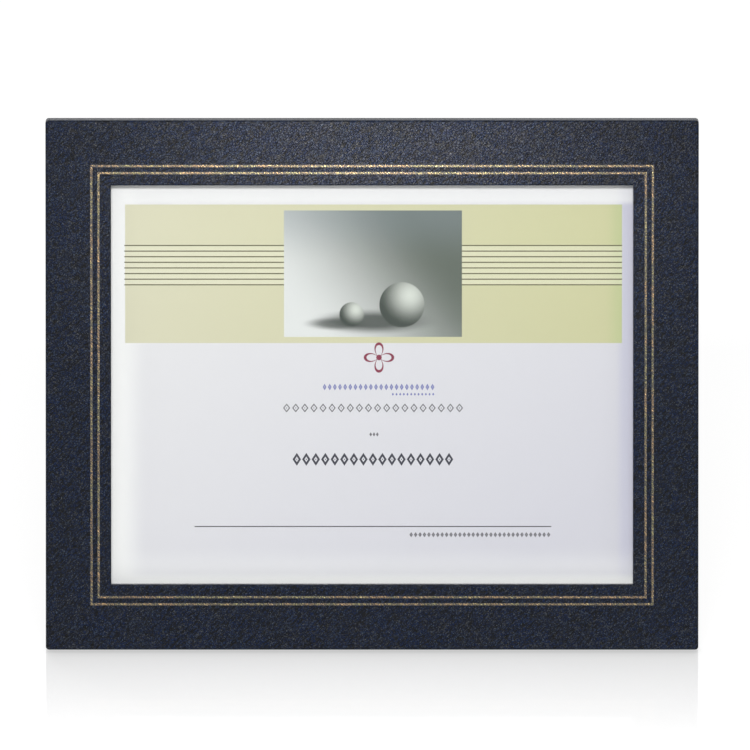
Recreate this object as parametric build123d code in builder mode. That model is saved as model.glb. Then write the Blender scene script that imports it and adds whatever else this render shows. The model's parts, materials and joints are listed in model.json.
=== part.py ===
from build123d import *
import os
from math import cos, radians, sin

# Certificate frame standing on its easel leg, in millimetres.
# +Z is up and the front looks along -Y. The origin lies on the table, in the middle of the space the frame
# takes up. Depths are measured back from the front face, and heights up along the frame from its bottom edge.

# Sheet on show, laid on its side, and how far the lip covers it all round
SHEET_LONG = 279.4
SHEET_SHORT = 215.9
SHEET_THICK = 0.2
SIGHT_COVER = 3.175

# Rails
RAIL_WIDTH = 34.25
LIP_DEPTH = 6.0
RABBET_GAP = 0.8
EDGE_ROUND = 1.3
LIP_ROUND = 0.8
CORNER_ROUND = 1.7

# Leatherette and its foil lines
WRAP_THICK = 0.5
TURN_IN = 14.0
FOIL_WIDTH = 1.3
FOIL_THICK = 0.05
FOIL_PRESS = 0.12
FOIL_INNER_MARGIN = 5.9
FOIL_SPACING = 3.7

# Stack in the rabbet, with a film of air between the glazing and the sheet
GLAZING_THICK = 2.0
SHEET_EASE = 0.05
FILLER_THICK = 4.75
BACKING_THICK = 2.5
BACKING_GAP = 0.5

# V nails across the mitres
NAIL_ARM = 5.0
NAIL_THICK = 0.6
NAIL_LENGTH = 10.0
NAIL_EDGE_INSET = 9.0
NAIL_RABBET_MARGIN = 3.5

# Turn buttons and their screws
BUTTON_THICK = 0.8
BUTTON_RADIUS = 3.7
BUTTON_NOSE_RADIUS = 2.4
BUTTON_REACH = 4.6
BUTTON_GAP = 0.05
BUTTON_SPREAD = 80.0
BEAD_LENGTH = 5.0
BEAD_WIDTH = 1.3
BEAD_HEIGHT = 0.35
SCREW_RADIUS = 1.45
SCREW_LENGTH = 9.5
SCREW_HEAD_RADIUS = 2.8
SCREW_HEAD_HEIGHT = 1.7
SCREW_HEAD_ROUND = 0.9
RECESS_LENGTH = 3.0
RECESS_WIDTH = 0.6
RECESS_DEPTH = 0.9
RUNNING_GAP = 0.08

# How the frame stands
LEAN = 14.0
OPEN_ANGLE = 26.0

# Easel hinge, and how far its upper leaf ends below the top hanger
HINGE_TO_HANGER = 14.0
HINGE_WIDTH = 40.0
HINGE_LEAF = 15.0
LEAF_THICK = 0.8
PIN_RADIUS = 1.0
PIN_ROUND = 0.3
CENTRE_KNUCKLE = 15.4
KNUCKLE_GAP = 0.3
NOTCH_GAP = 0.4
LEAF_CORNER = 2.5

# Rivets
RIVET_RADIUS = 1.2
RIVET_HEAD_RADIUS = 2.4
RIVET_HEAD_HEIGHT = 1.0
RIVET_HEAD_ROUND = 0.8
RIVET_FIT = 0.03
RIVET_SPREAD = 12.0

# Easel leg
LEG_THICK = 2.5
LEG_TOP_WIDTH = 44.0
LEG_FOOT_WIDTH = 64.0
LEG_TOP_GAP = 0.6
LEG_CORNER = 3.0
FOOT_CORNER = 1.5

# Ribbon between the backing and the leg, and its staples
RIBBON_WIDTH = 10.0
RIBBON_THICK = 0.4
RIBBON_TAB = 12.0
RIBBON_BOARD_DROP = 118.0
RIBBON_LEG_DROP = 104.0
STAPLE_WIRE = 0.6
STAPLE_SPARE = 0.4
STAPLE_BITE = 1.8

# Hangers, one for each way of hanging the frame
RING_WIRE_RADIUS = 0.8
RING_WIDTH = 18.0
RING_DROP = 16.0
RING_CORNER = 2.0
RING_NOSE = 3.0
HANGER_WIDTH = 10.0
HANGER_LENGTH = 20.0
HANGER_THICK = 0.8
HANGER_CORNER = 4.0
HANGER_RIVET_DROP = 11.5
HANGER_TOP_INSET = 36.0
HANGER_SIDE_INSET = 50.0

# Extra length of cuts that leave a solid
OVERRUN = 1.0

# Sizes that follow from the ones above
frame_width = SHEET_LONG + 2 * (RAIL_WIDTH - SIGHT_COVER)
frame_height = SHEET_SHORT + 2 * (RAIL_WIDTH - SIGHT_COVER)
rabbet_inset = RAIL_WIDTH - SIGHT_COVER - RABBET_GAP
backing_inset = rabbet_inset + BACKING_GAP
sheet_inset = RAIL_WIDTH - SIGHT_COVER

sheet_depth = LIP_DEPTH + GLAZING_THICK + SHEET_EASE
filler_depth = sheet_depth + SHEET_THICK
backing_depth = filler_depth + FILLER_THICK
back_depth = backing_depth + BACKING_THICK
frame_thick = back_depth + WRAP_THICK

hanger_top_height = frame_height - HANGER_TOP_INSET
hanger_knuckle = RING_WIRE_RADIUS + RUNNING_GAP + HANGER_THICK
hanger_depth = back_depth + hanger_knuckle

hinge_height = hanger_top_height - HANGER_LENGTH - HINGE_TO_HANGER - HINGE_LEAF
knuckle_radius = PIN_RADIUS + RUNNING_GAP + LEAF_THICK
hinge_depth = back_depth + knuckle_radius
leg_lean = LEAN - OPEN_ANGLE
leg_back = knuckle_radius - LEAF_THICK
leg_front = leg_back - LEG_THICK
leg_top = knuckle_radius + LEG_TOP_GAP

button_inset = (TURN_IN + rabbet_inset) / 2
button_depth = back_depth + BUTTON_GAP
screw_depth = button_depth + BUTTON_THICK + BUTTON_GAP


def backward(lean):
    """Direction from the front of a leaning board to its back."""
    return Vector(0, cos(radians(lean)), -sin(radians(lean)))


def upward(lean):
    """Direction up along a leaning board."""
    return Vector(0, sin(radians(lean)), cos(radians(lean)))


# The frame rests on its back bottom edge and on the front edge of the leg's foot. The leg's length and the
# place of the whole frame along Y come from that.
hinge_from_edge = upward(LEAN) * hinge_height + backward(LEAN) * (hinge_depth - frame_thick)
leg_length = (hinge_from_edge.Z + leg_front * backward(leg_lean).Z) / upward(leg_lean).Z
foot_back = hinge_from_edge - upward(leg_lean) * leg_length + backward(leg_lean) * leg_back
round_centre = upward(LEAN) * EDGE_ROUND + backward(LEAN) * (EDGE_ROUND - frame_thick)
resting_edge = Vector(0, -(foot_back.Y + round_centre.Y - EDGE_ROUND) / 2, 0)


def place(depth, height):
    """Point in the middle of the frame's width."""
    return resting_edge + upward(LEAN) * height + backward(LEAN) * (depth - frame_thick)


def face_plane(origin, lean):
    """Plane in a board's face, seen from the front: x to the right, y up along the board."""
    return Plane(origin=origin, x_dir=(1, 0, 0), z_dir=-backward(lean))


def side_plane(origin, lean):
    """Upright plane across a board: x runs back, y up along the board."""
    return Plane(origin=origin, x_dir=backward(lean), z_dir=(1, 0, 0))


FRONT = face_plane(place(0, 0), LEAN)
SIDE = side_plane(place(0, 0), LEAN)
HINGE = side_plane(place(hinge_depth, hinge_height), LEAN)
LEG_SIDE = side_plane(HINGE.origin, leg_lean)
LEG_FACE = face_plane(HINGE.origin, leg_lean)
DEPTH_AXIS = Axis(FRONT.origin, backward(LEAN))
LEG_DEPTH_AXIS = Axis(HINGE.origin, backward(leg_lean))


def at_depth(depth):
    return FRONT.offset(-depth)


def spot(depth, x, y, turn=0):
    """Face plane moved to a place on the frame and turned in its own plane."""
    face = at_depth(depth)
    x_dir = face.x_dir * cos(radians(turn)) + face.y_dir * sin(radians(turn))
    return Plane(origin=face.from_local_coords(Vector(x, y, 0)), x_dir=x_dir, z_dir=face.z_dir)


def frame_rectangle(inset, mode=Mode.ADD):
    """Rectangle at one distance inside the frame's outline."""
    with Locations((0, frame_height / 2)):
        Rectangle(frame_width - 2 * inset, frame_height - 2 * inset, mode=mode)


def frame_corners(inset):
    """Corners of that rectangle, from the bottom left corner round to the top left one."""
    right = frame_width / 2 - inset
    top = frame_height - inset
    return [(-right, inset), (right, inset), (right, top), (-right, top)]


def ring_slab(depth, thick, outer_inset, inner_inset, mode=Mode.ADD):
    """Flat ring that follows the frame."""
    with BuildSketch(at_depth(depth)) as outline:
        frame_rectangle(outer_inset)
        frame_rectangle(inner_inset, mode=Mode.SUBTRACT)
    extrude(outline.sketch, amount=thick, dir=backward(LEAN), mode=mode)


def round_frame(builder, corner, edge, lip):
    """Round the outer corners, then the outer and the inner edge of the front face."""
    middle = place(frame_thick / 2, frame_height / 2)
    upright = builder.edges().filter_by(DEPTH_AXIS)
    fillet(upright.sort_by(lambda e: (e.center() - middle).length)[-4:], radius=corner)
    fillet(builder.faces().sort_by(DEPTH_AXIS)[0].outer_wire().edges(), radius=edge)
    fillet(builder.faces().sort_by(DEPTH_AXIS)[0].inner_wires()[0].edges(), radius=lip)


def save(builder, label):
    builder.part.label = label
    export_step(builder.part, f"parts/{label}.step")


os.makedirs("parts", exist_ok=True)

# Rail core: a lip at the front, and behind it the wall of the rabbet
with BuildPart() as core:
    ring_slab(WRAP_THICK, LIP_DEPTH - 2 * WRAP_THICK, WRAP_THICK, RAIL_WIDTH - WRAP_THICK)
    ring_slab(LIP_DEPTH - WRAP_THICK, back_depth - LIP_DEPTH + WRAP_THICK, WRAP_THICK, rabbet_inset)
    round_frame(core, CORNER_ROUND - WRAP_THICK, EDGE_ROUND - WRAP_THICK, LIP_ROUND)

# Leatherette: over the front and the outer sides, round the lip to the rabbet, and onto the back
foil_inner_inset = RAIL_WIDTH - FOIL_INNER_MARGIN
foil_outer_inset = foil_inner_inset - FOIL_SPACING
with BuildPart() as leatherette_wrap:
    ring_slab(0, LIP_DEPTH, 0, RAIL_WIDTH)
    ring_slab(LIP_DEPTH, frame_thick - LIP_DEPTH, 0, TURN_IN)
    round_frame(leatherette_wrap, CORNER_ROUND, EDGE_ROUND, LIP_ROUND)
    add(core.part, mode=Mode.SUBTRACT)
    for foil_inset in (foil_inner_inset, foil_outer_inset):
        ring_slab(0, FOIL_PRESS, foil_inset - FOIL_WIDTH, foil_inset, mode=Mode.SUBTRACT)
save(leatherette_wrap, "leatherette_wrap")

# Foil lines, each lying at the bottom of its pressed groove
for label, foil_inset in (("foil_line_inner", foil_inner_inset), ("foil_line_outer", foil_outer_inset)):
    with BuildPart() as foil_line:
        ring_slab(FOIL_PRESS - FOIL_THICK, FOIL_THICK, foil_inset - FOIL_WIDTH, foil_inset)
    save(foil_line, label)


# V nails: two across each mitre, with their arms along the two rails
def nail_outline(inset, side_x, side_y):
    """L shape whose corner points at the middle of the frame."""
    x = side_x * (frame_width / 2 - inset)
    y = frame_height / 2 + side_y * (frame_height / 2 - inset)
    arm_x, arm_y = side_x * NAIL_ARM, side_y * NAIL_ARM
    thick_x, thick_y = side_x * NAIL_THICK, side_y * NAIL_THICK
    with BuildLine() as outline:
        Polyline(
            (x, y), (x + arm_x, y), (x + arm_x, y + thick_y), (x + thick_x, y + thick_y),
            (x + thick_x, y + arm_y), (x, y + arm_y), close=True,
        )
    make_face(outline.edges())


with BuildPart() as corner_nails:
    with BuildSketch(at_depth(back_depth)):
        for nail_inset in (NAIL_EDGE_INSET + NAIL_ARM, rabbet_inset - NAIL_RABBET_MARGIN):
            for side_x in (-1, 1):
                for side_y in (-1, 1):
                    nail_outline(nail_inset, side_x, side_y)
    extrude(amount=NAIL_LENGTH)
save(corner_nails, "corner_nails")

# Turn buttons: where each one is screwed to the rails, and which way its nose points
button_right = frame_width / 2 - button_inset
button_top = frame_height - button_inset
button_places = {
    "turn_button_top_left": (-BUTTON_SPREAD, button_top, -90),
    "turn_button_top_right": (BUTTON_SPREAD, button_top, -90),
    "turn_button_bottom_left": (-BUTTON_SPREAD, button_inset, 90),
    "turn_button_bottom_right": (BUTTON_SPREAD, button_inset, 90),
    "turn_button_left": (-button_right, frame_height / 2, 0),
    "turn_button_right": (button_right, frame_height / 2, 180),
}
button_nose = backing_inset - button_inset + BUTTON_REACH

for label, (x, y, turn) in button_places.items():
    rear_face = spot(button_depth + BUTTON_THICK, x, y, turn)
    with BuildPart() as turn_button:
        with BuildSketch(spot(button_depth, x, y, turn)):
            Circle(BUTTON_RADIUS)
            with Locations((button_nose, 0)):
                Circle(BUTTON_NOSE_RADIUS)
            make_hull()
            Circle(SCREW_RADIUS + RUNNING_GAP, mode=Mode.SUBTRACT)
        extrude(amount=-BUTTON_THICK)
        with BuildSketch(rear_face):
            with Locations(((button_nose + SCREW_HEAD_RADIUS) / 2, 0)):
                SlotOverall(BEAD_LENGTH, BEAD_WIDTH)
        extrude(amount=-BEAD_HEIGHT)
    save(turn_button, label)

with BuildPart() as turn_button_screws:
    head_planes = [spot(screw_depth, x, y, turn) for x, y, turn in button_places.values()]
    tip_planes = [plane.offset(SCREW_LENGTH) for plane in head_planes]
    top_planes = [plane.offset(-SCREW_HEAD_HEIGHT) for plane in head_planes]
    with BuildSketch(*head_planes):
        Circle(SCREW_HEAD_RADIUS)
    extrude(amount=-SCREW_HEAD_HEIGHT)
    fillet(turn_button_screws.edges().group_by(DEPTH_AXIS)[-1], radius=SCREW_HEAD_ROUND)
    with BuildSketch(*tip_planes):
        Circle(SCREW_RADIUS)
    extrude(amount=-SCREW_LENGTH)
    with BuildSketch(*top_planes):
        Rectangle(RECESS_LENGTH, RECESS_WIDTH)
        Rectangle(RECESS_WIDTH, RECESS_LENGTH)
    extrude(amount=RECESS_DEPTH, mode=Mode.SUBTRACT)
save(turn_button_screws, "turn_button_screws")

# The four rails: the core with its nail pockets and screw holes, sawn apart at the mitres
with BuildPart() as drilled_core:
    add(core.part)
    add(corner_nails.part, mode=Mode.SUBTRACT)
    with BuildSketch(*tip_planes):
        Circle(SCREW_RADIUS)
    extrude(amount=-(SCREW_LENGTH + OVERRUN), mode=Mode.SUBTRACT)

outer_corners = frame_corners(0)
inner_corners = frame_corners(RAIL_WIDTH)
for index, label in enumerate(("rail_bottom", "rail_right", "rail_top", "rail_left")):
    after = (index + 1) % len(outer_corners)
    with BuildPart() as rail:
        add(drilled_core.part)
        with BuildSketch(FRONT):
            with BuildLine():
                Polyline(
                    outer_corners[index], outer_corners[after],
                    inner_corners[after], inner_corners[index], close=True,
                )
            make_face()
        extrude(amount=-frame_thick, mode=Mode.INTERSECT)
    save(rail, label)

# Stack in the rabbet
for label, depth, thick in (
    ("glazing", LIP_DEPTH, GLAZING_THICK),
    ("certificate", sheet_depth, SHEET_THICK),
    ("filler_board", filler_depth, FILLER_THICK),
):
    with BuildPart() as sheet:
        with BuildSketch(at_depth(depth)):
            frame_rectangle(sheet_inset)
        extrude(amount=-thick)
    save(sheet, label)


# Easel hinge: each leaf is one strip with rolled knuckles round the pin
def leaf_profile(side, near):
    """Strip that leaves the knuckle on its front side, going up, or on its rear side, going down."""
    with Locations((side * (knuckle_radius - LEAF_THICK / 2), -side * (near + HINGE_LEAF) / 2)):
        Rectangle(LEAF_THICK, HINGE_LEAF - near)


def hinge_leaf(plane, side, knuckles, rivet_plane):
    """Leaf with knuckles at the given (middle, width) stations along the pin."""
    with BuildPart() as leaf:
        for middle, width in knuckles:
            with BuildSketch(plane.offset(middle)):
                Circle(knuckle_radius)
                leaf_profile(side, 0)
            extrude(amount=width / 2, both=True)
        with BuildSketch(plane):
            leaf_profile(side, knuckle_radius + NOTCH_GAP)
        extrude(amount=HINGE_WIDTH / 2, both=True)
        far = leaf.edges().filter_by(lambda e: abs(e.center().X) > (HINGE_WIDTH - LEAF_THICK) / 2)
        far = far.filter_by(Axis(plane.origin, plane.x_dir))
        fillet(far.sort_by(Axis(plane.origin, -side * plane.y_dir))[-2:], radius=LEAF_CORNER)
        with BuildSketch(plane):
            Circle(PIN_RADIUS + RUNNING_GAP)
        extrude(amount=HINGE_WIDTH, both=True, mode=Mode.SUBTRACT)
        with BuildSketch(rivet_plane):
            with Locations((-RIVET_SPREAD, 0), (RIVET_SPREAD, 0)):
                Circle(RIVET_RADIUS + RIVET_FIT)
        extrude(amount=knuckle_radius, both=True, mode=Mode.SUBTRACT)
    return leaf


def rivets(planes, grip):
    """Rivets with a domed head behind each plane, and a shank that runs forward through the grip."""
    with BuildPart() as set_of_rivets:
        with BuildSketch(*planes):
            Circle(RIVET_HEAD_RADIUS)
        extrude(amount=-RIVET_HEAD_HEIGHT)
        heads = Axis(planes[0].origin, -planes[0].z_dir)
        fillet(set_of_rivets.edges().group_by(heads)[-1], radius=RIVET_HEAD_ROUND)
        with BuildSketch(*planes):
            Circle(RIVET_RADIUS)
        extrude(amount=grip)
    return set_of_rivets


rivet_rise = (knuckle_radius + NOTCH_GAP + HINGE_LEAF) / 2
base_rivet_height = hinge_height + rivet_rise
outer_knuckle = (HINGE_WIDTH - CENTRE_KNUCKLE) / 2 - KNUCKLE_GAP
outer_station = (HINGE_WIDTH - outer_knuckle) / 2

hinge_base_leaf = hinge_leaf(
    HINGE, -1, [(-outer_station, outer_knuckle), (outer_station, outer_knuckle)],
    spot(back_depth, 0, base_rivet_height),
)
save(hinge_base_leaf, "hinge_base_leaf")

leg_rivet_plane = Plane(
    origin=LEG_FACE.from_local_coords(Vector(0, -rivet_rise, -leg_back)),
    x_dir=LEG_FACE.x_dir, z_dir=LEG_FACE.z_dir,
)
hinge_leg_leaf = hinge_leaf(LEG_SIDE, 1, [(0, CENTRE_KNUCKLE)], leg_rivet_plane)
save(hinge_leg_leaf, "hinge_leg_leaf")

with BuildPart() as hinge_pin:
    with BuildSketch(HINGE):
        Circle(PIN_RADIUS)
    extrude(amount=HINGE_WIDTH / 2, both=True)
    fillet(hinge_pin.edges().filter_by(GeomType.CIRCLE), radius=PIN_ROUND)
save(hinge_pin, "hinge_pin")

base_rivet_planes = [
    spot(back_depth + LEAF_THICK, x, base_rivet_height) for x in (-RIVET_SPREAD, RIVET_SPREAD)
]
hinge_base_rivets = rivets(base_rivet_planes, LEAF_THICK + BACKING_THICK)
save(hinge_base_rivets, "hinge_base_rivets")

leg_rivet_planes = [
    Plane(
        origin=leg_rivet_plane.from_local_coords(Vector(x, 0, -LEAF_THICK)),
        x_dir=leg_rivet_plane.x_dir, z_dir=leg_rivet_plane.z_dir,
    )
    for x in (-RIVET_SPREAD, RIVET_SPREAD)
]
hinge_leg_rivets = rivets(leg_rivet_planes, LEAF_THICK + LEG_THICK)
save(hinge_leg_rivets, "hinge_leg_rivets")


# Hangers: a strip rolled round the straight side of a wire ring
def hanger_plate(plane):
    """Strip with its knuckle at the plane's origin: x runs back, y the way the hanger is pulled."""
    with BuildPart() as plate:
        with BuildSketch(plane):
            Circle(hanger_knuckle)
            with Locations((HANGER_THICK / 2 - hanger_knuckle, -HANGER_LENGTH / 2)):
                Rectangle(HANGER_THICK, HANGER_LENGTH)
            Circle(RING_WIRE_RADIUS + RUNNING_GAP, mode=Mode.SUBTRACT)
        extrude(amount=HANGER_WIDTH / 2, both=True)
        corners = plate.edges().filter_by(Axis(plane.origin, plane.x_dir))
        fillet(corners.sort_by(Axis(plane.origin, plane.y_dir))[:2], radius=HANGER_CORNER)
        rivet_place = plane.from_local_coords(Vector(-hanger_knuckle, -HANGER_RIVET_DROP, 0))
        with BuildSketch(Plane(origin=rivet_place, z_dir=plane.x_dir)):
            Circle(RIVET_RADIUS + RIVET_FIT)
        extrude(amount=HANGER_THICK, mode=Mode.SUBTRACT)
    return plate


def hanger_ring(plane):
    """Closed ring: its straight side lies on x, and its nose points along -y."""
    with BuildPart() as ring:
        with BuildLine(plane) as path:
            half = RING_WIDTH / 2
            FilletPolyline(
                (half, 0), (0, -RING_DROP), (-half, 0),
                radius=(RING_CORNER, RING_NOSE, RING_CORNER), close=True,
            )
        with BuildSketch(Plane(origin=path.line @ 0, z_dir=path.line % 0)):
            Circle(RING_WIRE_RADIUS)
        sweep(path=path.line)
    return ring


hanger_side_x = frame_width / 2 - HANGER_SIDE_INSET
top_knuckle = spot(hanger_depth, 0, hanger_top_height).origin
side_knuckle = spot(hanger_depth, hanger_side_x, frame_height / 2).origin
hanger_rivet_planes = [
    spot(back_depth + HANGER_THICK, 0, hanger_top_height - HANGER_RIVET_DROP),
    spot(back_depth + HANGER_THICK, hanger_side_x - HANGER_RIVET_DROP, frame_height / 2),
]

save(hanger_plate(side_plane(top_knuckle, LEAN)), "hanger_plate_top")
save(hanger_ring(face_plane(top_knuckle, 0)), "hanger_ring_top")
save(
    hanger_plate(Plane(origin=side_knuckle, x_dir=backward(LEAN), z_dir=-upward(LEAN))),
    "hanger_plate_side",
)
save(
    hanger_ring(Plane(origin=side_knuckle, x_dir=upward(LEAN), z_dir=(1, 0, 0))),
    "hanger_ring_side",
)
save(rivets(hanger_rivet_planes, HANGER_THICK + BACKING_THICK), "hanger_rivets")


# Staples: a crown across the ribbon and two legs in the board
def staple(plane):
    """Staple over a ribbon that lies on the plane, biting into the board in front of it."""
    with BuildPart() as wire:
        crown = RIBBON_WIDTH + 2 * (STAPLE_SPARE + STAPLE_WIRE)
        crown_plane = plane.offset(-(RIBBON_THICK + STAPLE_WIRE))
        with BuildSketch(crown_plane):
            Rectangle(crown, STAPLE_WIRE)
        extrude(amount=STAPLE_WIRE)
        with BuildSketch(crown_plane):
            with Locations((-(crown - STAPLE_WIRE) / 2, 0), ((crown - STAPLE_WIRE) / 2, 0)):
                Rectangle(STAPLE_WIRE, STAPLE_WIRE)
        extrude(amount=STAPLE_WIRE + RIBBON_THICK + STAPLE_BITE)
    return wire


board_staple_height = hinge_height - RIBBON_BOARD_DROP
ribbon_staple_board = staple(spot(back_depth, 0, board_staple_height))
save(ribbon_staple_board, "ribbon_staple_board")

leg_staple_plane = Plane(
    origin=LEG_FACE.from_local_coords(Vector(0, -RIBBON_LEG_DROP, -leg_front)),
    x_dir=-LEG_FACE.x_dir, z_dir=-LEG_FACE.z_dir,
)
ribbon_staple_leg = staple(leg_staple_plane)
save(ribbon_staple_leg, "ribbon_staple_leg")

# Backing board, with the holes of its rivets and its staple
with BuildPart() as backing_board:
    with BuildSketch(at_depth(backing_depth)):
        frame_rectangle(backing_inset)
    extrude(amount=-BACKING_THICK)
    with BuildSketch(*base_rivet_planes, *hanger_rivet_planes):
        Circle(RIVET_RADIUS + RIVET_FIT)
    extrude(amount=LEAF_THICK + BACKING_THICK + OVERRUN, mode=Mode.SUBTRACT)
    add(ribbon_staple_board.part, mode=Mode.SUBTRACT)
save(backing_board, "backing_board")

# Easel leg, tapering up to the hinge
with BuildPart() as easel_leg:
    with BuildSketch(LEG_FACE.offset(-leg_front)):
        with BuildLine():
            Polyline(
                (-LEG_TOP_WIDTH / 2, -leg_top), (LEG_TOP_WIDTH / 2, -leg_top),
                (LEG_FOOT_WIDTH / 2, -leg_length), (-LEG_FOOT_WIDTH / 2, -leg_length), close=True,
            )
        make_face()
    extrude(amount=-LEG_THICK)
    leg_corners = easel_leg.edges().filter_by(LEG_DEPTH_AXIS).sort_by(Axis.Z)
    fillet(leg_corners[:2], radius=FOOT_CORNER)
    fillet(leg_corners[2:], radius=LEG_CORNER)
    with BuildSketch(*leg_rivet_planes):
        Circle(RIVET_RADIUS + RIVET_FIT)
    extrude(amount=LEAF_THICK + LEG_THICK + OVERRUN, mode=Mode.SUBTRACT)
    add(ribbon_staple_leg.part, mode=Mode.SUBTRACT)
save(easel_leg, "easel_leg")

# Ribbon, pulled straight between its two stapled ends
leg_ribbon_depth = leg_front - RIBBON_THICK / 2
board_ribbon_depth = back_depth + RIBBON_THICK / 2
ribbon_route = [
    SIDE.from_local_coords(Vector(board_ribbon_depth, board_staple_height - RIBBON_TAB / 2, 0)),
    SIDE.from_local_coords(Vector(board_ribbon_depth, board_staple_height + RIBBON_TAB / 2, 0)),
    LEG_SIDE.from_local_coords(Vector(leg_ribbon_depth, -RIBBON_LEG_DROP - RIBBON_TAB / 2, 0)),
    LEG_SIDE.from_local_coords(Vector(leg_ribbon_depth, -RIBBON_LEG_DROP + RIBBON_TAB / 2, 0)),
]
with BuildPart() as ribbon_stay:
    with BuildSketch(SIDE):
        with BuildLine():
            Polyline(*[SIDE.to_local_coords(point) for point in ribbon_route])
        trace(line_width=RIBBON_THICK)
    extrude(amount=RIBBON_WIDTH / 2, both=True)
save(ribbon_stay, "ribbon_stay")

print("frame", frame_width, frame_height, frame_thick)
print("leg length", leg_length, "depth on the table", foot_back.Y - round_centre.Y + EDGE_ROUND)
print("ribbon", 2 * RIBBON_TAB + (ribbon_route[2] - ribbon_route[1]).length)
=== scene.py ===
import json
from math import cos, radians, sin

import bmesh
import bpy
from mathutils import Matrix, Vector


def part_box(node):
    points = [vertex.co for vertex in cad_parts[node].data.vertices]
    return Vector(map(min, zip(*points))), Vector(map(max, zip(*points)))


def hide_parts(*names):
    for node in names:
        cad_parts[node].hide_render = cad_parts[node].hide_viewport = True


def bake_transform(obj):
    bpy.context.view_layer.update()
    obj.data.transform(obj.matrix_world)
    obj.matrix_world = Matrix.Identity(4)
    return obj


# Looks of the certificate frame. Lengths are in metres, and MM turns millimetres into them. Places
# on the frame are given as x across, height up along the leaning frame, and depth behind its front.

MM = 0.001
LEAN = radians(14)
ACROSS = Vector((1, 0, 0))
UP = Vector((0, sin(LEAN), cos(LEAN)))
BACK = Vector((0, cos(LEAN), -sin(LEAN)))
WIDTH, HEIGHT = 341.55 * MM, 278.05 * MM

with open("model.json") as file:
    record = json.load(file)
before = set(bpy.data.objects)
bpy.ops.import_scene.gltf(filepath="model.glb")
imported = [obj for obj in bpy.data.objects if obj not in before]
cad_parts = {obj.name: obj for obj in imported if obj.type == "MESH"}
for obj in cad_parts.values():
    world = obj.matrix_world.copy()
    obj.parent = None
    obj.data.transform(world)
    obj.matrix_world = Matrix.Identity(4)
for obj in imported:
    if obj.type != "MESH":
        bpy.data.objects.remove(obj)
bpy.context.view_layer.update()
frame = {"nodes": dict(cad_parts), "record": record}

# The sheet's lower front edge ties these places to the CAD
SHEET_INSET, SHEET_DEPTH, SHEET_THICK = 31.075 * MM, 8.05 * MM, 0.2 * MM
sheet_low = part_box("certificate")[0]
sheet_edge = Vector((0, sheet_low[1], sheet_low[2] + SHEET_THICK * sin(LEAN)))


def on_frame(x, height, depth):
    """Place on the leaning frame."""
    up, back = height - SHEET_INSET, depth - SHEET_DEPTH
    return sheet_edge + ACROSS * x + UP * up + BACK * back


MIDDLE = on_frame(0, HEIGHT / 2, 0)


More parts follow.
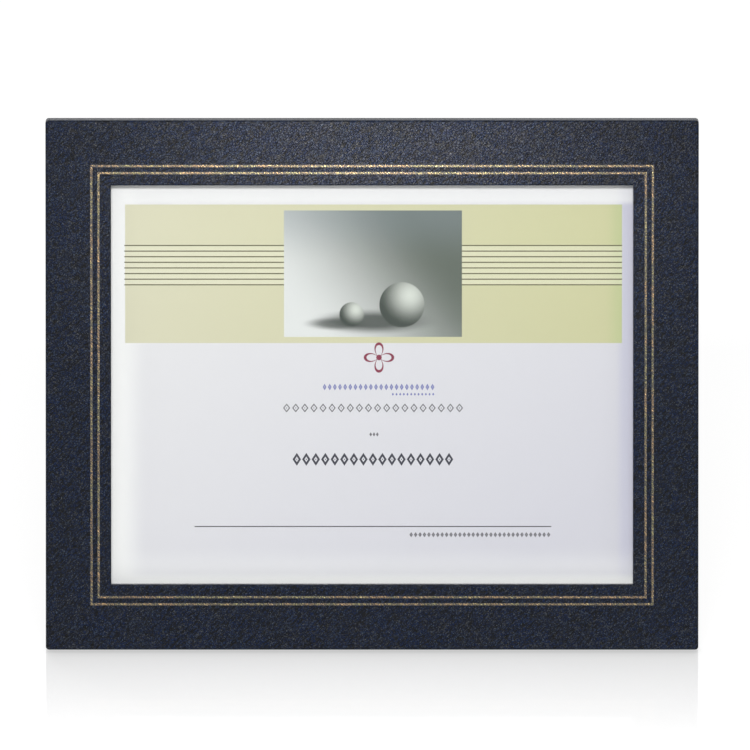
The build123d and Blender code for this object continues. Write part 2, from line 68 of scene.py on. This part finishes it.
# Shader nodes
class Look:
    """One material, with short calls that add nodes to it.

    A value is a number, a tuple or another node's output.
    """

    def __init__(self, name):
        self.material = bpy.data.materials.new(name)
        self.material.use_nodes = True
        self.tree = self.material.node_tree
        self.shader = self.tree.nodes["Principled BSDF"]
        self.place = self.add("ShaderNodeTexCoord").outputs["Object"]

    def add(self, kind, inputs=(), **settings):
        node = self.tree.nodes.new(kind)
        for key, value in settings.items():
            setattr(node, key, value)
        for key, value in dict(inputs).items():
            self.give(node.inputs[key], value)
        return node

    def give(self, socket, value):
        if isinstance(value, bpy.types.NodeSocket):
            self.tree.links.new(value, socket)
        elif isinstance(value, (tuple, list)) and socket.type == "RGBA":
            socket.default_value = (*value, 1)
        else:
            socket.default_value = value

    def set(self, **inputs):
        """Principled inputs, with underscores for spaces."""
        for key, value in inputs.items():
            self.give(self.shader.inputs[key.replace("_", " ")], value)

    def math(self, operation, *values):
        return self.add("ShaderNodeMath", enumerate(values), operation=operation).outputs[0]

    def plus(self, first, second):
        return self.math("ADD", first, second)

    def minus(self, first, second):
        return self.math("SUBTRACT", first, second)

    def times(self, first, second):
        return self.math("MULTIPLY", first, second)

    def over(self, first, second):
        return self.math("DIVIDE", first, second)

    def times_plus(self, first, second, third):
        return self.math("MULTIPLY_ADD", first, second, third)

    def larger(self, first, second):
        return self.math("MAXIMUM", first, second)

    def smaller(self, first, second):
        return self.math("MINIMUM", first, second)

    def size_of(self, value):
        return self.math("ABSOLUTE", value)

    def vector_math(self, operation, vector, other=None, output="Vector"):
        inputs = {0: vector} if other is None else {0: vector, 1: tuple(other)}
        return self.add("ShaderNodeVectorMath", inputs, operation=operation).outputs[output]

    def dot(self, vector, direction):
        return self.vector_math("DOT_PRODUCT", vector, direction, "Value")

    def scaled(self, vector, scale):
        """The vector with each part times one of the scale's."""
        return self.vector_math("MULTIPLY", vector, scale)

    def moved(self, vector, by):
        inputs = {0: vector, 1: by}
        return self.add("ShaderNodeVectorMath", inputs, operation="ADD").outputs[0]

    def length(self, vector):
        return self.vector_math("LENGTH", vector, output="Value")

    def joined(self, *parts):
        """A vector of one to three values."""
        return self.add("ShaderNodeCombineXYZ", enumerate(parts)).outputs[0]

    def mix(self, factor, first, second, blend="MIX"):
        node = self.add("ShaderNodeMix", data_type="RGBA", blend_type=blend, clamp_factor=True)
        for index, value in ((0, factor), (6, first), (7, second)):
            self.give(node.inputs[index], value)
        return node.outputs[2]

    def span(self, value, low, high, to_low=0.0, to_high=1.0, smooth=True):
        """Maps low to high onto another span, held at its ends."""
        kind = "SMOOTHSTEP" if smooth else "LINEAR"
        inputs = {
            "Value": value, "From Min": low, "From Max": high, "To Min": to_low, "To Max": to_high,
        }
        return self.add("ShaderNodeMapRange", inputs, interpolation_type=kind).outputs[0]

    def noise(self, vector, scale, detail=2.0, rough=0.5, output="Fac"):
        inputs = {"Vector": vector, "Scale": scale, "Detail": detail, "Roughness": rough}
        return self.add("ShaderNodeTexNoise", inputs).outputs[output]

    def cells(self, vector, scale, feature="F1"):
        inputs = {"Vector": vector, "Scale": scale}
        return self.add("ShaderNodeTexVoronoi", inputs, feature=feature).outputs

    def bump(self, height, distance, strength=1.0):
        inputs = {"Height": height, "Distance": distance, "Strength": strength}
        self.set(Normal=self.add("ShaderNodeBump", inputs).outputs[0])

    def between(self, value, low, high, soft):
        """1 between low and high, with edges soft wide."""
        rise = self.span(value, low - soft / 2, low + soft / 2)
        fall = self.span(value, high - soft / 2, high + soft / 2)
        return self.minus(rise, fall)

    def in_mm(self):
        """The place on the object in millimetres."""
        return self.scaled(self.place, (1 / MM, 1 / MM, 1 / MM))

    def along(self):
        """Millimetres from the middle of the front face: across, up along the frame and back."""
        from_middle = self.moved(self.place, tuple(-MIDDLE))
        return [self.times(self.dot(from_middle, axis), 1 / MM) for axis in (ACROSS, UP, BACK)]

    def show(self, shader):
        """Puts another shader in the place of the Principled one."""
        output = self.tree.nodes["Material Output"]
        self.tree.links.new(shader.outputs[0], output.inputs["Surface"])
        self.tree.nodes.remove(self.shader)


def grain_of(look):
    """Grain of the leatherette: creases between small cells, and wrinkles that lean rightwards."""
    place = look.in_mm()
    drift = look.noise(place, 0.35, 2.0, output="Color")
    slight = look.moved(place, look.scaled(drift, (0.6, 0.6, 0.6)))
    place = look.moved(place, look.scaled(drift, (1.6, 1.6, 1.6)))
    creases = look.span(look.cells(place, 0.7, "DISTANCE_TO_EDGE")["Distance"], 0.0, 0.2)
    slanted = look.joined(
        look.dot(slight, (ACROSS + UP) * 0.26),
        look.dot(slight, (ACROSS - UP) * 0.80),
        look.dot(slight, BACK),
    )
    wrinkles = look.noise(slanted, 0.85, 2.0)
    height = look.times_plus(creases, 0.45, look.times(wrinkles, 1.3))
    height = look.times_plus(look.noise(place, 1.8, 3.0, 0.6), 0.35, height)
    return place, creases, wrinkles, height


def leatherette():
    look = Look("navy_leatherette")
    place, creases, wrinkles, height = grain_of(look)
    blotch = look.noise(place, 0.09, 3.0)
    cloud = look.span(blotch, 0.35, 0.65)
    navy = look.mix(cloud, (0.0002, 0.0070, 0.0340), (0.0025, 0.0070, 0.0240))
    # Painted shade: the creases and the troughs of the wrinkles are coloured near black
    crease_shade_mask = look.times(creases, look.span(wrinkles, 0.36, 0.46))
    colour = look.mix(crease_shade_mask, (0.0005, 0.001, 0.002), navy)

    # Painted highlights on the tops of the grain: broken ridges and single dots, of slightly
    # changing hue
    ridge = look.span(look.size_of(look.minus(wrinkles, 0.53)), 0.042, 0.012)
    ridge = look.times(ridge, look.span(look.noise(place, 0.9, 2.0), 0.44, 0.58))
    dots = look.cells(place, 1.15)
    dot = look.span(dots["Distance"], 0.36, 0.20)
    chosen = look.span(look.dot(dots["Color"], (1, 0, 0)), 0.60, 0.90, smooth=False)
    dot = look.times(dot, chosen)
    drift = look.span(look.noise(place, 0.22, 2.0), 0.4, 0.6)
    hue = look.mix(drift, (0.050, 0.070, 0.104), (0.078, 0.084, 0.086))
    painted_glints = look.larger(look.times(ridge, 0.50), dot)
    look.set(
        Base_Color=look.mix(painted_glints, colour, hue),
        Roughness=look.span(look.noise(place, 0.6, 2.0), 0.3, 0.7, 0.34, 0.46),
        Specular_IOR_Level=0.13,
    )
    look.bump(height, 0.20 * MM)
    return look.material


# Middles of the two foil lines, in mm in from the frame's outer edge
FOIL_INSETS = (24.0, 27.7)


def foil():
    """Foil pressed over the grain and worn in patches. Its slanting strands are painted bright gold
    with dark gaps between them, a painted highlight and shade, over matching ridges in the bump.
    """
    look = Look("gold_foil")
    place, creases, _, height = grain_of(look)
    across, up, _ = look.along()
    inset = look.smaller(
        look.minus(WIDTH / MM / 2, look.size_of(across)),
        look.minus(HEIGHT / MM / 2, look.size_of(up)),
    )
    off_middle = look.smaller(*(look.size_of(look.minus(inset, middle)) for middle in FOIL_INSETS))
    ragged = look.times_plus(look.noise(place, 0.9, 2.0), 0.5, look.minus(off_middle, 0.25))
    slant = look.plus(look.plus(across, up), look.times(look.noise(place, 0.45, 2.0), 5.0))
    # Painted highlight and shade: bright foil on the slanting strands, dark gaps between them
    strand = look.span(look.math("SINE", look.times(slant, 4.3)), -0.7, 0.5)
    hue = look.span(look.noise(place, 0.11, 2.0), 0.38, 0.62)
    gold = look.mix(hue, (0.24, 0.215, 0.105), (0.33, 0.220, 0.115))
    worn = look.span(look.noise(place, 1.2, 2.0, 0.6), 0.42, 0.56)
    cover = look.times(look.times_plus(worn, 0.75, 0.25), look.span(strand, 0, 1, 0.15, 1.0))
    cover = look.times(cover, look.span(ragged, 0.62, 0.40))
    look.set(
        Base_Color=look.mix(cover, (0.012, 0.013, 0.020), gold),
        Metallic=look.times(cover, 0.9),
        Roughness=look.span(look.noise(place, 2.0, 2.0), 0.3, 0.7, 0.34, 0.52),
    )
    look.bump(look.times_plus(strand, 0.6, height), 0.10 * MM)
    return look.material


# Print on the sheet, in mm from the frame's middle: left, right, top and bottom
BAND = (-129.2, 130.7, 94.2, 21.5)
BAND_PALE_PART = (-129.2, 130.7, 73.0, 51.8)
BAND_LINES = (-129.6, 130.7, 73.6, 51.2)
FIRST_LINE, LINE_PITCH = 72.7, 2.947
PANEL = (-46.1, 47.0, 91.1, 24.7)
SIGNATURE_RULE = (-92.9, 93.8, -74.65, -75.15)
ORNAMENT_MIDDLE = (3.6, 13.9)

# Balls in the picture panel: place from the panel's lower left corner, radius and depth of shadow
BALLS = ((61.7, 16.9, 11.8, 0.9), (35.4, 11.8, 6.4, 0.75))

# Rows of small marks: left, right, middle and pitch of the row, half width, half height and outline
# width of a mark, and ink
GREY, BLUE, BLACK = (0.09, 0.085, 0.10), (0.12, 0.14, 0.44), (0.03, 0.03, 0.05)
ROWS = (
    (-26.2, 32.9, -1.6, 2.69, 0.95, 1.7, 0.40, BLUE),
    (9.9, 32.9, -5.4, 1.92, 0.55, 0.75, 0.25, BLUE),
    (-47.1, 48.1, -12.6, 4.76, 1.85, 2.3, 0.50, GREY),
    (-1.6, 3.6, -26.5, 1.73, 0.70, 1.1, 0.30, GREY),
    (-41.9, 42.8, -39.6, 4.98, 2.20, 3.4, 1.00, BLACK),
    (19.3, 93.6, -79.2, 2.32, 0.90, 1.3, 0.40, GREY),
)


def paper_ground(look, across, up):
    """Tint, a little darker to the right and down as painted shade, with a painted shadow of the
    right lip at the right edge, that fades to white at three edges.
    """
    # Painted shade: the tint darkens to the right and downwards
    painted_shade_slope = look.times_plus(across, -0.0022, look.times(up, 0.0030))
    tint = look.span(painted_shade_slope, -0.45, 0.45, smooth=False)
    ground = look.mix(tint, (0.69, 0.685, 0.75), (0.84, 0.835, 0.85))
    # Painted shadow of the frame's right lip: a darker lavender strip along the right edge
    ground = look.mix(look.span(across, 126.5, 132.5), ground, (0.65, 0.645, 0.76))
    ground = look.mix(look.span(across, -117, -135), ground, (1, 1, 0.995))
    ground = look.mix(look.span(up, -84, -98, 0, 0.35), ground, (1, 1, 1))
    ground = look.mix(look.span(up, -98.5, -104), ground, (1, 1, 1))
    return look.mix(look.span(up, 93, 97, 0, 0.65), ground, (1, 1, 1))


def paper_band(look, across, up):
    """Green that deepens to the right, with painted shade: a little darker downwards, and darker
    green at its right end under the right lip.
    """
    deeper = look.span(across, -129, 131, smooth=False)
    band = look.mix(deeper, (0.755, 0.735, 0.545), (0.655, 0.65, 0.375))
    # Painted shade: the band darkens a little downwards
    shaded = look.mix(0.06, band, (0.2, 0.2, 0.15))
    band = look.mix(look.span(up, 21, 94, smooth=False), shaded, band)
    # Painted shade of the right lip: darker green at the band's right end
    return look.mix(look.span(across, 121, 131, 0.0, 0.5), band, (0.52, 0.62, 0.29))


def panel_picture(look, across, up):
    """Two plain balls and their soft shadows on a pale table."""
    left, right, top, bottom = PANEL
    share_across = look.span(across, left, right, smooth=False)
    share_up = look.span(up, bottom, top, smooth=False)
    from_corner = look.plus(share_across, look.times(share_up, 0.55))
    shade = look.span(from_corner, 0.15, 1.25)
    picture = look.mix(shade, (0.80, 0.82, 0.81), (0.115, 0.14, 0.115))
    picture = look.mix(look.span(share_up, 0.55, 1.0, 0.0, 0.35), picture, (0.30, 0.36, 0.40))
    for x, y, radius, depth in BALLS:
        beside = look.minus(look.times(share_across, right - left), x)
        above = look.minus(look.times(share_up, top - bottom), y)
        shadow = look.length(look.joined(
            look.over(look.plus(beside, radius * 1.3), radius * 2.6),
            look.over(look.plus(above, radius * 0.75), radius * 0.55),
        ))
        darker = look.span(shadow, 1.15, 0.35, 0.0, depth)
        picture = look.mix(darker, picture, (0.035, 0.047, 0.04))
        from_middle = look.joined(beside, above)
        from_light = look.length(look.moved(from_middle, (-radius * 0.35, -radius * 0.42, 0)))
        shade = look.span(from_light, 0, radius * 1.35)
        ball = look.mix(shade, (0.72, 0.76, 0.70), (0.04, 0.055, 0.045))
        inside = look.span(look.length(from_middle), radius + 0.25, radius - 0.25)
        picture = look.mix(inside, picture, ball)
    return picture


def ornament(look, across, up):
    """Share of ink of a four-petal ornament."""
    x, y = ORNAMENT_MIDDLE
    petal = look.joined(look.minus(across, x), look.minus(up, y))
    reach = look.length(petal)
    angle = look.math("ARCTAN2", look.dot(petal, (0, 1, 0)), look.dot(petal, (1, 0, 0)))
    wave = look.size_of(look.math("COSINE", look.times(angle, 2)))
    rim = look.minus(look.times_plus(wave, 6.6, 1.4), reach)
    petals = look.times(look.span(rim, -0.15, 0.25), look.span(rim, 1.7, 1.3))
    return look.larger(petals, look.span(reach, 1.6, 1.3))


def row_marks(look, across, up, row):
    """Share of ink of one row: lozenge outlines, each with a dot in its middle."""
    left, _, middle, pitch, half_wide, half_high, stroke, _ = row
    turn = look.math("FRACT", look.over(look.minus(across, left), pitch))
    aside = look.times(look.size_of(look.minus(turn, 0.5)), pitch / half_wide)
    above = look.over(look.size_of(look.minus(up, middle)), half_high)
    deepest = half_wide * 0.8
    depth = look.times(look.minus(1, look.plus(aside, above)), deepest)
    outer, inner = look.span(depth, -0.08, 0.08), look.span(depth, stroke + 0.08, stroke - 0.08)
    dot = look.span(depth, deepest - 0.30, deepest - 0.18)
    return look.larger(look.times(outer, inner), dot)


def print_on_paper():
    """The sheet: a tinted ground, a band with fine lines, a picture panel, and rows of marks."""
    look = Look("printed_paper")
    across, up, _ = look.along()
    place = look.in_mm()

    def within(left, right, top, bottom, soft=0.35):
        sides = look.between(across, left, right, soft)
        return look.times(sides, look.between(up, bottom, top, soft))

    ground, band = paper_ground(look, across, up), paper_band(look, across, up)
    colour = look.mix(within(*BAND), ground, band)
    pale = look.mix(0.45, band, (0.87, 0.86, 0.68))
    colour = look.mix(within(*BAND_PALE_PART), colour, pale)
    step = look.over(look.minus(FIRST_LINE, up), LINE_PITCH)
    off_line = look.size_of(look.minus(look.math("FRACT", look.plus(step, 0.5)), 0.5))
    lines = look.times(look.span(off_line, 0.125, 0.075), within(*BAND_LINES))
    colour = look.mix(lines, colour, (0.125, 0.12, 0.05))
    colour = look.mix(within(*PANEL), colour, panel_picture(look, across, up))
    colour = look.mix(ornament(look, across, up), colour, (0.25, 0.02, 0.06))
    for row in ROWS:
        left, right, middle, _, _, half_high, _, ink = row
        reach = half_high + 0.3
        inside = within(left, right, middle + reach, middle - reach, 0.05)
        colour = look.mix(look.times(row_marks(look, across, up, row), inside), colour, ink)
    colour = look.mix(within(*SIGNATURE_RULE, 0.2), colour, (0.02, 0.02, 0.025))

    # Fibres
    fibre = look.noise(look.scaled(place, (0.6, 1, 1)), 2.4, 4.0, 0.6)
    fleck = look.mix(look.span(fibre, 0.3, 0.7), (0.975, 0.975, 0.975), (1, 1, 1))
    look.set(
        Base_Color=look.mix(1.0, colour, fleck, "MULTIPLY"),
        Roughness=0.72,
        Specular_IOR_Level=0.25,
    )
    look.bump(fibre, 0.02 * MM, 0.4)
    return look.material


def glass():
    """Clear sheet: what is behind it shows, with a reflection that grows at a slant."""
    look = Look("clear_glass")
    facing = look.add("ShaderNodeLayerWeight", {"Blend": 0.5}).outputs["Facing"]
    share = look.times_plus(look.math("POWER", facing, 5), 0.6, 0.02)
    smear = look.noise(look.place, 40, 3.0)
    gloss = look.add("ShaderNodeBsdfGlossy", {
        "Color": (0.95, 0.97, 0.96), "Roughness": look.span(smear, 0.35, 0.65, 0.02, 0.05),
    })
    clear = look.add("ShaderNodeBsdfTransparent", {"Color": (0.995, 0.998, 0.996)})
    look.show(look.add("ShaderNodeMixShader", {0: share, 1: clear.outputs[0], 2: gloss.outputs[0]}))
    return look.material


def black_board():
    """Hardboard faced with black pebbled paper, rubbed and worn in patches."""
    look = Look("black_board")
    place = look.in_mm()
    pebble = look.span(look.cells(place, 0.62, "SMOOTH_F1")["Distance"], 0.15, 0.75)
    fibre = look.noise(look.scaled(place, (0.3, 1, 1)), 1.5, 4.0, 0.6)
    scuff = look.span(look.noise(place, 0.05, 4.0, 0.65), 0.50, 0.72)
    # Painted shade: the paper is darker in the pebble's hollows; the fibres vary its tone too
    hollow_shade_and_fibre = look.times_plus(pebble, 0.6, look.times(fibre, 0.4))
    paper = look.mix(hollow_shade_and_fibre, (0.034, 0.034, 0.036), (0.008, 0.008, 0.009))
    rub = look.span(look.noise(look.scaled(place, (0.12, 0.5, 0.5)), 0.5, 3.0, 0.6), 0.60, 0.70)
    worn = look.larger(look.times(scuff, 0.6), look.times(rub, 0.7))
    paper = look.mix(worn, paper, (0.075, 0.073, 0.069))
    look.set(
        Base_Color=paper,
        Roughness=look.span(scuff, 0, 1, 0.52, 0.68),
        Specular_IOR_Level=0.3,
    )
    look.bump(look.times_plus(pebble, -0.8, look.times(fibre, 0.5)), 0.14 * MM)
    return look.material


def fibreboard():
    look = Look("mdf")
    place = look.in_mm()
    fibre = look.noise(place, 1.6, 5.0, 0.7)
    cloud = look.noise(place, 0.12, 3.0)
    wood = look.mix(look.span(fibre, 0.3, 0.7), (0.33, 0.215, 0.12), (0.50, 0.36, 0.22))
    look.set(
        Base_Color=look.mix(look.span(cloud, 0.4, 0.7, 0.0, 0.25), wood, (0.30, 0.20, 0.12)),
        Roughness=0.85,
        Specular_IOR_Level=0.2,
    )
    look.bump(fibre, 0.1 * MM)
    return look.material


def card():
    look = Look("grey_card")
    place = look.in_mm()
    fleck = look.noise(place, 1.1, 4.0, 0.7)
    look.set(
        Base_Color=look.mix(look.span(fleck, 0.35, 0.65), (0.30, 0.285, 0.26), (0.44, 0.42, 0.385)),
        Roughness=0.9,
        Specular_IOR_Level=0.15,
    )
    look.bump(fleck, 0.06 * MM)
    return look.material


def plated(name, bright, dull, rough, grain=(1, 1, 6)):
    """Plated steel with fine drawing marks, a cloudy finish and small scratches."""
    look = Look(name)
    place = look.in_mm()
    marks = look.noise(look.scaled(place, grain), 2.0, 3.0, 0.6)
    cloud = look.span(look.noise(place, 0.35, 4.0, 0.6), 0.35, 0.7)
    scratch = look.span(look.noise(look.scaled(place, (0.25, 3, 3)), 2.2, 2.0), 0.66, 0.7)
    colour = look.mix(cloud, bright, dull)
    look.set(
        Base_Color=look.mix(look.times(scratch, 0.3), colour, (0.8, 0.8, 0.78)),
        Metallic=1.0,
        Roughness=look.times_plus(cloud, 0.12, look.span(marks, 0.3, 0.7, rough, rough + 0.12)),
    )
    look.bump(look.minus(marks, look.times(scratch, 0.5)), 0.02 * MM)
    return look.material


def woven_ribbon():
    look = Look("black_ribbon")
    across, up, back = look.along()
    weft = look.math("SINE", look.times(look.plus(up, back), 11.0))
    warp = look.math("SINE", look.times(across, 9.0))
    weave = look.times(weft, warp)
    rib = look.span(weave, -0.6, 0.6)
    look.set(
        # Painted shade: the weave's low places are coloured darker
        Base_Color=look.mix(rib, (0.006, 0.006, 0.007), (0.030, 0.030, 0.034)),
        Roughness=0.7,
        Sheen_Weight=0.35,
        Sheen_Roughness=0.4,
        Specular_IOR_Level=0.3,
    )
    look.bump(rib, 0.08 * MM)
    return look.material


looks = {
    "navy_leatherette": leatherette(),
    "gold_foil": foil(),
    "clear_glass": glass(),
    "printed_paper": print_on_paper(),
    "mdf": fibreboard(),
    "grey_card": card(),
    "black_board": black_board(),
    "nail_steel": plated("nail_steel", (0.46, 0.45, 0.44), (0.30, 0.29, 0.28), 0.3),
    "button_steel": plated("button_steel", (0.58, 0.47, 0.25), (0.40, 0.33, 0.19), 0.26, (6, 1, 1)),
    "screw_steel": plated("screw_steel", (0.60, 0.52, 0.33), (0.42, 0.37, 0.26), 0.24, (1, 6, 1)),
    "plated_hinge": plated("plated_hinge", (0.47, 0.45, 0.42), (0.32, 0.31, 0.29), 0.24, (1, 6, 6)),
    "rivet_steel": plated("rivet_steel", (0.64, 0.61, 0.56), (0.50, 0.48, 0.44), 0.22, (3, 3, 3)),
    "hanger_steel": plated("hanger_steel", (0.58, 0.47, 0.25), (0.40, 0.33, 0.19), 0.26, (6, 1, 1)),
    "ring_wire": plated("ring_wire", (0.62, 0.51, 0.29), (0.45, 0.38, 0.23), 0.2, (3, 3, 3)),
    "staple_steel": plated("staple_steel", (0.56, 0.56, 0.55), (0.42, 0.42, 0.41), 0.26, (6, 1, 1)),
    "black_ribbon": woven_ribbon(),
}
for part in frame["record"]["subparts"]:
    node = frame["nodes"][part["node"]]
    node.data.materials.clear()
    node.data.materials.append(looks[part["material_slot"]])

# Ribbon stay: a woven strip pulled straight between its two stapled ends. The staples' drops and
# the leg tab's depth are from the hinge pin. Both tabs' depths are to the middle of the strip.
LEG_OPENING = radians(26)
LEG_LEAN = LEAN - LEG_OPENING
LEG_UP = Vector((0, sin(LEG_LEAN), cos(LEG_LEAN)))
LEG_BACK = Vector((0, cos(LEG_LEAN), -sin(LEG_LEAN)))
HINGE_HEIGHT, HINGE_DEPTH = 193.05 * MM, 17.38 * MM
BOARD_STAPLE_DROP, LEG_STAPLE_DROP = 118 * MM, 104 * MM
BOARD_TAB_DEPTH = 15.7 * MM
LEG_TAB_DEPTH = -1.62 * MM
RIBBON_WIDTH, RIBBON_LENGTH, RIBBON_THICK, TAB = 10 * MM, 74 * MM, 0.36 * MM, 12 * MM
RIBBON_COLUMNS, RIBBON_STEP = 10, 1.0 * MM
hinge_pin = on_frame(0, HINGE_HEIGHT, HINGE_DEPTH)
board_staple = HINGE_HEIGHT - BOARD_STAPLE_DROP


def on_leg(drop, depth):
    """Place on the middle of the leg, drop below the hinge pin."""
    return hinge_pin - LEG_UP * drop + LEG_BACK * depth


ribbon_points = [
    on_frame(0, board_staple - TAB / 2, BOARD_TAB_DEPTH),
    on_frame(0, board_staple + TAB / 2, BOARD_TAB_DEPTH),
    on_leg(LEG_STAPLE_DROP + TAB / 2, LEG_TAB_DEPTH),
    on_leg(LEG_STAPLE_DROP - TAB / 2, LEG_TAB_DEPTH),
]


def ribbon():
    """Strip of small quads that runs through the four points."""
    line = []
    for start, end in zip(ribbon_points, ribbon_points[1:]):
        steps = round((end - start).length / RIBBON_STEP)
        line += [start.lerp(end, step / steps) for step in range(steps)]
    line.append(ribbon_points[-1])
    shape = bmesh.new()
    sides = [(column / RIBBON_COLUMNS - 0.5) * RIBBON_WIDTH for column in range(RIBBON_COLUMNS + 1)]
    rows = [[shape.verts.new(point + ACROSS * side) for side in sides] for point in line]
    for lower, upper in zip(rows, rows[1:]):
        for column in range(RIBBON_COLUMNS):
            shape.faces.new((lower[column], lower[column + 1], upper[column + 1], upper[column]))
    mesh = bpy.data.meshes.new("ribbon_strip")
    shape.to_mesh(mesh)
    shape.free()
    for face in mesh.polygons:
        face.use_smooth = True
    strip = bpy.data.objects.new("ribbon_strip", mesh)
    bpy.context.scene.collection.objects.link(strip)
    mesh.materials.append(looks["black_ribbon"])
    solid = strip.modifiers.new("thickness", "SOLIDIFY")
    solid.thickness = RIBBON_THICK
    solid.offset = 0
    return strip


strip = ribbon()
free_run = LEG_BACK * (ribbon_points[2] - ribbon_points[1]).dot(LEG_BACK)
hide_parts("ribbon_stay")
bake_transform(strip)


# Floor and world, both white to the camera and in reflections. The floor keeps the frame's shadow.
FLOOR_SIZE = 6.0
FLOOR_POLISH, POLISH_REACH = 0.25, 150 * MM
FRAME_HALF_SIZE = (WIDTH / 2, 50 * MM, 0)
FLOOR_LIT, FLOOR_GLOW = 0.40, 0.77
WORLD_LIGHT, WORLD_SEEN = 0.35, 1.0


def seen_directly(tree):
    """1 for rays from the camera, and for those that a reflection or clear glass sends on."""
    rays = tree.nodes.new("ShaderNodeLightPath").outputs
    seen = rays["Is Camera Ray"]
    for ray in ("Is Glossy Ray", "Is Transmission Ray"):
        larger = tree.nodes.new("ShaderNodeMath")
        larger.operation = "MAXIMUM"
        tree.links.new(seen, larger.inputs[0])
        tree.links.new(rays[ray], larger.inputs[1])
        seen = larger.outputs[0]
    return seen


def floor_look():
    """White floor with a faint polish close to the frame."""
    look = Look("studio_floor")
    away = look.vector_math("ABSOLUTE", look.place)
    away = look.vector_math("SUBTRACT", away, FRAME_HALF_SIZE)
    away = look.length(look.vector_math("MAXIMUM", away, (0, 0, 0)))
    polish = look.span(away, 0, POLISH_REACH, FLOOR_POLISH, 0.0, smooth=False)
    seen = seen_directly(look.tree)
    white = look.mix(seen, (0.8, 0.8, 0.8), (FLOOR_LIT, FLOOR_LIT, FLOOR_LIT))
    diffuse = look.add("ShaderNodeBsdfDiffuse", {"Color": white})
    glow = look.times(seen, FLOOR_GLOW)
    lift = look.add("ShaderNodeEmission", {"Color": (1, 1, 1), "Strength": glow})
    matt = look.add("ShaderNodeAddShader", {0: diffuse.outputs[0], 1: lift.outputs[0]})
    gloss = look.add("ShaderNodeBsdfGlossy", {"Color": (1, 1, 1), "Roughness": 0.06})
    look.show(look.add("ShaderNodeMixShader", {0: polish, 1: matt.outputs[0], 2: gloss.outputs[0]}))
    return look.material


floor_mesh = bpy.data.meshes.new("floor")
corners = [(x * FLOOR_SIZE, y * FLOOR_SIZE, 0) for x, y in ((-1, -1), (1, -1), (1, 1), (-1, 1))]
floor_mesh.from_pydata(corners, [], [(0, 1, 2, 3)])
floor = bpy.data.objects.new("floor", floor_mesh)
floor.data.materials.append(floor_look())
bpy.context.scene.collection.objects.link(floor)

world = bpy.data.worlds.new("studio")
world.use_nodes = True
bpy.context.scene.world = world
sky = world.node_tree
background = sky.nodes["Background"]
background.inputs["Color"].default_value = (1, 1, 1, 1)
strength = sky.nodes.new("ShaderNodeMapRange")
strength.inputs["To Min"].default_value = WORLD_LIGHT
strength.inputs["To Max"].default_value = WORLD_SEEN
sky.links.new(seen_directly(sky), strength.inputs["Value"])
sky.links.new(strength.outputs[0], background.inputs["Strength"])


def lamp(name, place, target, size, power, spread=180, only=(), colour=(1, 1, 1)):
    """Rectangular soft box that faces its target. Where nodes are given, it lights only them."""
    data = bpy.data.lights.new(name, "AREA")
    data.shape = "RECTANGLE"
    data.size, data.size_y = size
    data.energy = power
    data.color = colour
    data.spread = radians(spread)
    box = bpy.data.objects.new(name, data)
    box.location = place
    box.rotation_euler = (Vector(target) - Vector(place)).to_track_quat("-Z", "Y").to_euler()
    bpy.context.scene.collection.objects.link(box)
    if only:
        lit = bpy.data.collections.new(name + "_lights")
        for node in only:
            lit.objects.link(frame["nodes"][node])
        box.light_linking.receiver_collection = lit


lamp("key", place=(0.0, -1.95, 1.40), target=MIDDLE, size=(0.9, 0.3), power=32)
lamp(
    "strip", place=(0.0, -0.45, 0.40), target=on_frame(0, HEIGHT - 12 * MM, 0), size=(0.14, 0.05),
    power=0.19, spread=42, only=("leatherette_wrap", "foil_line_outer", "foil_line_inner"),
    colour=(1, 0.93, 0.84),
)
lamp("rear", place=(-0.9, 1.8, 1.3), target=(0, 0.05, 0.12), size=(1.0, 0.8), power=10)

# Camera, looking down by five degrees more than the leaning face looks up
CAMERA_RISE = radians(19)
CAMERA_DISTANCE = 15.0
AIM_RIGHT, AIM_UP = 1.52 * MM, 5.39 * MM
SENSOR_WIDTH, LENS = 36, 1376.7
to_camera = Vector((0, -cos(CAMERA_RISE), sin(CAMERA_RISE)))
image_up = Vector((0, sin(CAMERA_RISE), cos(CAMERA_RISE)))
aim = MIDDLE + ACROSS * AIM_RIGHT + image_up * AIM_UP
camera_data = bpy.data.cameras.new("camera")
camera_data.sensor_width = SENSOR_WIDTH
camera_data.lens = LENS
camera_data.clip_end = 50
camera = bpy.data.objects.new("camera", camera_data)
camera.location = aim + to_camera * CAMERA_DISTANCE
camera.rotation_euler = (-to_camera).to_track_quat("-Z", "Y").to_euler()
bpy.context.scene.collection.objects.link(camera)
bpy.context.scene.camera = camera
bpy.context.scene.view_settings.view_transform = "Standard"
